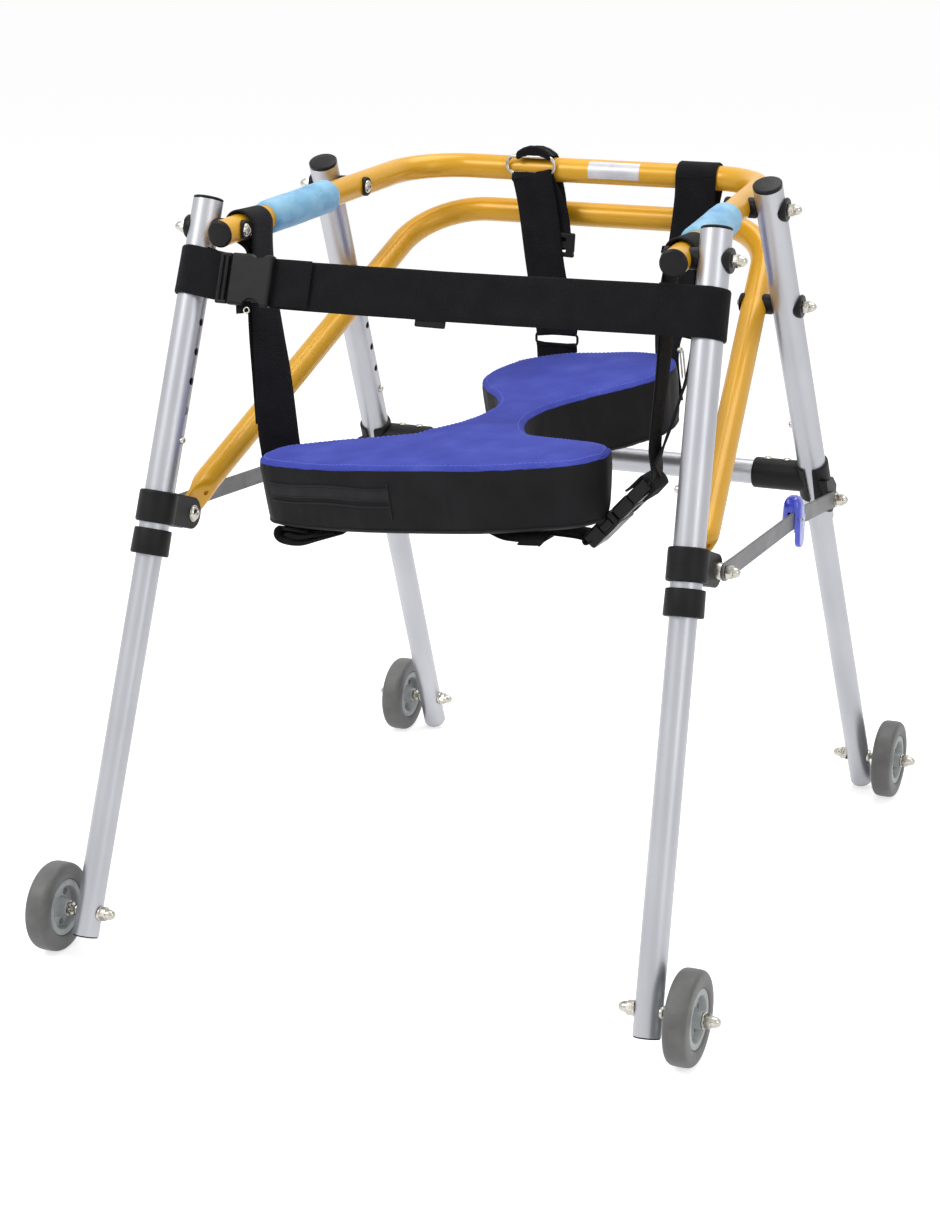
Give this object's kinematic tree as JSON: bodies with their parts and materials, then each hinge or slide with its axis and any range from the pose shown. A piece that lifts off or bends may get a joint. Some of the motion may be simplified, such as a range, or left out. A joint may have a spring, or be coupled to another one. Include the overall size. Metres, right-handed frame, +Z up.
{
  "type": "pediatric walker",
  "caption": "Folding rear-opening child's walker: yellow U rail and brace, telescoping aluminium legs on small wheels, slung saddle seat and waist belt.",
  "frame": {"origin": "centre of the bounding box on the floor plane", "axes": "+X to the walker's right-hand side in the picture, +Y towards the closed rear of the rail, +Z up"},
  "size_m": [0.6108, 0.75, 0.6353],
  "materials": {
    "yellow_paint": "satin yellow enamel",
    "satin_aluminium": "satin anodised",
    "black_plastic": "fine matte grain",
    "webbing": "woven nylon webbing",
    "foam": "soft foam",
    "seat_cloth": "woven cover",
    "tyre_rubber": "matte",
    "hub_plastic": "matte",
    "bright_steel": "nickel plated",
    "grey_stay": "grey coating",
    "blue_lever": "gloss"
  },
  "bodies": {
    "rail": {"top_rail": "yellow_paint", "rail_cap_left": "black_plastic", "rail_cap_right": "black_plastic", "grip_left": "foam", "grip_right": "foam", "seat": "seat_cloth", "strap_front_left": "webbing", "strap_front_right": "webbing", "strap_rear_left": "webbing", "strap_rear_right": "webbing", "strap_slide": "black_plastic", "seat_buckle": "black_plastic"},
    "front_legs": {"front_upper_left": "satin_aluminium", "front_upper_right": "satin_aluminium", "front_cap_left": "black_plastic", "front_cap_right": "black_plastic", "front_clamp_left": "black_plastic", "front_clamp_right": "black_plastic", "front_collar_left": "black_plastic", "front_collar_right": "black_plastic", "front_pivot_bolt_left": "bright_steel", "front_pivot_bolt_right": "bright_steel", "waist_belt": "webbing", "belt_buckle": "black_plastic"},
    "rear_legs": {"rear_upper_left": "satin_aluminium", "rear_upper_right": "satin_aluminium", "rear_cap_left": "black_plastic", "rear_cap_right": "black_plastic", "rear_pivot_bolt_left": "bright_steel", "rear_pivot_bolt_right": "bright_steel", "brace_bolt_left": "bright_steel", "brace_bolt_right": "bright_steel", "tee_clamp_left": "black_plastic", "tee_clamp_right": "black_plastic", "stay_stud_left": "bright_steel", "stay_stud_right": "bright_steel", "cross_bar": "satin_aluminium"},
    "brace_frame": {"brace": "yellow_paint"},
    "stay_long_body_left": {"stay_long_left": "grey_stay"},
    "stay_short_body_left": {"stay_short_left": "grey_stay"},
    "lever_body_left": {"lock_lever_left": "blue_lever"},
    "stay_long_body_right": {"stay_long_right": "grey_stay"},
    "stay_short_body_right": {"stay_short_right": "grey_stay"},
    "lever_body_right": {"lock_lever_right": "blue_lever"},
    "lower_leg_front_left": {"lower_tube_front_left": "satin_aluminium"},
    "wheel_front_left": {"tyre_front_left": "tyre_rubber", "hub_front_left": "hub_plastic"},
    "snap_front_left": {"snap_button_front_left": "bright_steel"},
    "lower_leg_front_right": {"lower_tube_front_right": "satin_aluminium"},
    "wheel_front_right": {"tyre_front_right": "tyre_rubber", "hub_front_right": "hub_plastic"},
    "snap_front_right": {"snap_button_front_right": "bright_steel"},
    "lower_leg_rear_left": {"lower_tube_rear_left": "satin_aluminium"},
    "wheel_rear_left": {"tyre_rear_left": "tyre_rubber", "hub_rear_left": "hub_plastic"},
    "snap_rear_left": {"snap_button_rear_left": "bright_steel"},
    "lower_leg_rear_right": {"lower_tube_rear_right": "satin_aluminium"},
    "wheel_rear_right": {"tyre_rear_right": "tyre_rubber", "hub_rear_right": "hub_plastic"},
    "snap_rear_right": {"snap_button_rear_right": "bright_steel"}
  },
  "joints": [
    {"name": "fold", "type": "hinge", "parent": "rail", "child": "front_legs", "pos_m": [0, -0.161, 0.59], "axis": [1, 0, 0], "range_deg": [-27, 0], "deforming": ["strap_rear_left", "strap_rear_right", "strap_slide"]},
    {"name": "rear_fold", "type": "hinge", "parent": "rail", "child": "rear_legs", "pos_m": [0, 0.0428, 0.6075], "axis": [1, 0, 0], "range_deg": [-48.47, 0]},
    {"name": "brace_fold", "type": "hinge", "parent": "rear_legs", "child": "brace_frame", "pos_m": [0, 0.08813, 0.51983], "axis": [1, 0, 0], "range_deg": [0, 39]},
    {"name": "stay_long_fold_left", "type": "hinge", "parent": "front_legs", "child": "stay_long_body_left", "pos_m": [-0.25203, -0.19734, 0.35262], "axis": [1, 0, 0], "range_deg": [0, 50.81]},
    {"name": "stay_short_fold_left", "type": "hinge", "parent": "rear_legs", "child": "stay_short_body_left", "pos_m": [-0.23616, 0.18638, 0.32982], "axis": [1, 0, 0], "range_deg": [-25.6, 0]},
    {"name": "lock_lever_lift_left", "type": "hinge", "parent": "stay_long_body_left", "child": "lever_body_left", "pos_m": [-0.24616, 0.0221, 0.34723], "axis": [1, 0, 0], "range_deg": [0, 20], "stiffness_Nm_per_rad": 0.4},
    {"name": "stay_long_fold_right", "type": "hinge", "parent": "front_legs", "child": "stay_long_body_right", "pos_m": [0.25203, -0.19734, 0.35262], "axis": [1, 0, 0], "range_deg": [0, 50.81]},
    {"name": "stay_short_fold_right", "type": "hinge", "parent": "rear_legs", "child": "stay_short_body_right", "pos_m": [0.23616, 0.18638, 0.32982], "axis": [1, 0, 0], "range_deg": [-25.6, 0]},
    {"name": "lock_lever_lift_right", "type": "hinge", "parent": "stay_long_body_right", "child": "lever_body_right", "pos_m": [0.24616, 0.0221, 0.34723], "axis": [1, 0, 0], "range_deg": [0, 20], "stiffness_Nm_per_rad": 0.4},
    {"name": "leg_length_front_left", "type": "slide", "parent": "front_legs", "child": "lower_leg_front_left", "axis": [0.0406, 0.3036, 0.9519], "range_m": [0, 0.1], "deforming": ["snap_button_front_left"]},
    {"name": "wheel_spin_front_left", "type": "hinge", "parent": "lower_leg_front_left", "child": "wheel_front_left", "pos_m": [-0.27843, -0.33706, 0.03789], "axis": [1, 0, 0], "continuous": true},
    {"name": "button_press_front_left", "type": "slide", "parent": "lower_leg_front_left", "child": "snap_front_left", "axis": [-1, 0, 0], "range_m": [0, 0.0034], "stiffness_N_per_m": 800},
    {"name": "leg_length_front_right", "type": "slide", "parent": "front_legs", "child": "lower_leg_front_right", "axis": [-0.0406, 0.3036, 0.9519], "range_m": [0, 0.1], "deforming": ["snap_button_front_right"]},
    {"name": "wheel_spin_front_right", "type": "hinge", "parent": "lower_leg_front_right", "child": "wheel_front_right", "pos_m": [0.27843, -0.33706, 0.03789], "axis": [1, 0, 0], "continuous": true},
    {"name": "button_press_front_right", "type": "slide", "parent": "lower_leg_front_right", "child": "snap_front_right", "axis": [1, 0, 0], "range_m": [0, 0.0034], "stiffness_N_per_m": 800},
    {"name": "leg_length_rear_left", "type": "slide", "parent": "rear_legs", "child": "lower_leg_rear_left", "axis": [0.0389, -0.4589, 0.8876], "range_m": [0, 0.1], "deforming": ["snap_button_rear_left"]},
    {"name": "wheel_spin_rear_left", "type": "hinge", "parent": "lower_leg_rear_left", "child": "wheel_rear_left", "pos_m": [-0.26405, 0.33735, 0.03784], "axis": [1, 0, 0], "continuous": true},
    {"name": "button_press_rear_left", "type": "slide", "parent": "lower_leg_rear_left", "child": "snap_rear_left", "axis": [-1, 0, 0], "range_m": [0, 0.0034], "stiffness_N_per_m": 800},
    {"name": "leg_length_rear_right", "type": "slide", "parent": "rear_legs", "child": "lower_leg_rear_right", "axis": [-0.0389, -0.4589, 0.8876], "range_m": [0, 0.1], "deforming": ["snap_button_rear_right"]},
    {"name": "wheel_spin_rear_right", "type": "hinge", "parent": "lower_leg_rear_right", "child": "wheel_rear_right", "pos_m": [0.26405, 0.33735, 0.03784], "axis": [1, 0, 0], "continuous": true},
    {"name": "button_press_rear_right", "type": "slide", "parent": "lower_leg_rear_right", "child": "snap_rear_right", "axis": [1, 0, 0], "range_m": [0, 0.0034], "stiffness_N_per_m": 800}
  ],
  "couplings": [
    {"joint": "rear_fold", "follows": "fold", "ratio": 1.795},
    {"joint": "brace_fold", "follows": "fold", "ratio": -1.4445},
    {"joint": "stay_long_fold_left", "follows": "fold", "ratio": -1.8819},
    {"joint": "stay_short_fold_left", "follows": "fold", "ratio": 0.94817},
    {"joint": "stay_long_fold_right", "follows": "fold", "ratio": -1.8819},
    {"joint": "stay_short_fold_right", "follows": "fold", "ratio": 0.94817}
  ]
}
